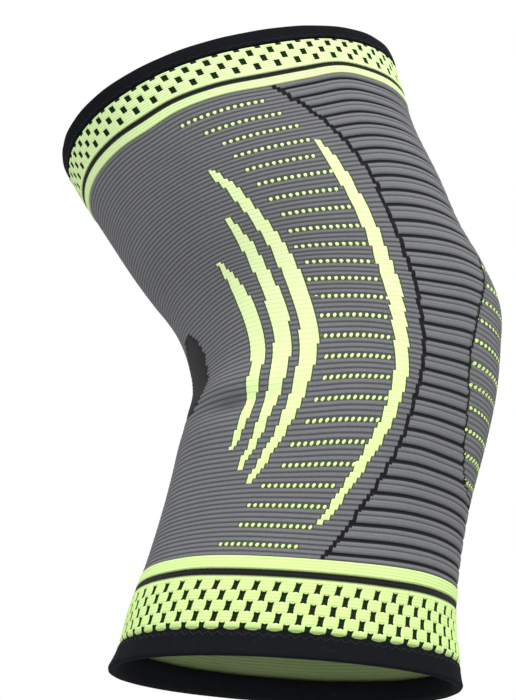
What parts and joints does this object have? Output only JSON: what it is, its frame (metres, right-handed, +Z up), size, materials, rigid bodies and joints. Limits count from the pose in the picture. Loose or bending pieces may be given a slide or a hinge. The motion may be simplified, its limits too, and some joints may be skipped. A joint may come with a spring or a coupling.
{
  "type": "knee sleeve",
  "caption": "Knitted compression sleeve for a slightly bent knee: a ribbed tube with a kneecap zone, a smooth zone behind the knee, checked cuffs and bound hems.",
  "frame": {"origin": "inside the leg hollow at the knee, midway between the kneecap and the hollow of the knee, where the sleeve sits on the leg", "axes": "+X to the front of the knee, +Y to one side of the leg, +Z up the shin towards the thigh"},
  "size_m": [0.2038, 0.148, 0.294],
  "materials": {
    "grey_knit": "matte cross-ribbed knit with lime crescents and rows of lime stitches",
    "kneecap_knit": "matte grey knit with rows of lime stitches and a black edge",
    "smooth_knit": "matte near-black fine knit",
    "cuff_knit": "lime knit with black check stitches and stripes",
    "binding": "soft bluish-black binding with zigzag stitches"
  },
  "bodies": {
    "root": {"knit_body": "grey_knit", "kneecap_panel": "kneecap_knit", "back_mesh": "smooth_knit", "upper_cuff": "cuff_knit", "lower_cuff": "cuff_knit", "upper_hem": "binding", "lower_hem": "binding"}
  },
  "joints": []
}
